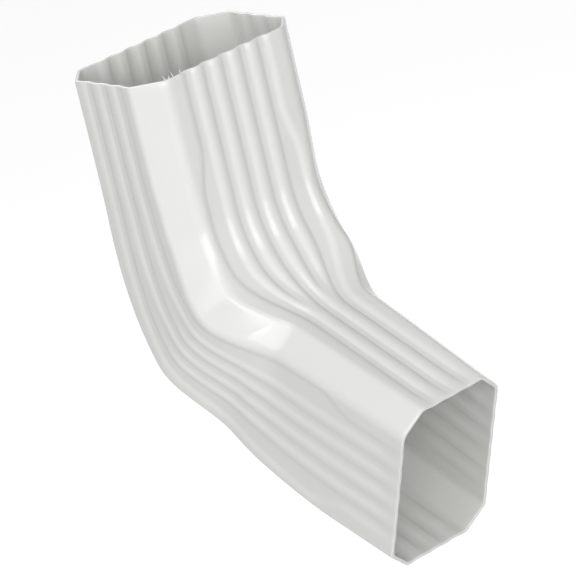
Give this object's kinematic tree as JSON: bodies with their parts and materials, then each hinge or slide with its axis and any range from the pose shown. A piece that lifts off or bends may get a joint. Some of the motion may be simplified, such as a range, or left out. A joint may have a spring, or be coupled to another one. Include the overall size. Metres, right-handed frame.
{
  "type": "downspout elbow",
  "caption": "White moulded vinyl downspout elbow that turns a fluted rectangular gutter pipe and swaps its long and short sides.",
  "frame": {"origin": "centre of the inlet mouth, in the plane of its rim", "axes": "+Z out of the inlet, back up the downspout it takes; +X the way the outlet turns; +Y across the bend, square to its mirror plane"},
  "size_m": [0.1466, 0.08, 0.1976],
  "materials": {
    "vinyl": "gloss"
  },
  "bodies": {
    "root": {"elbow_shell": "vinyl"}
  },
  "joints": []
}
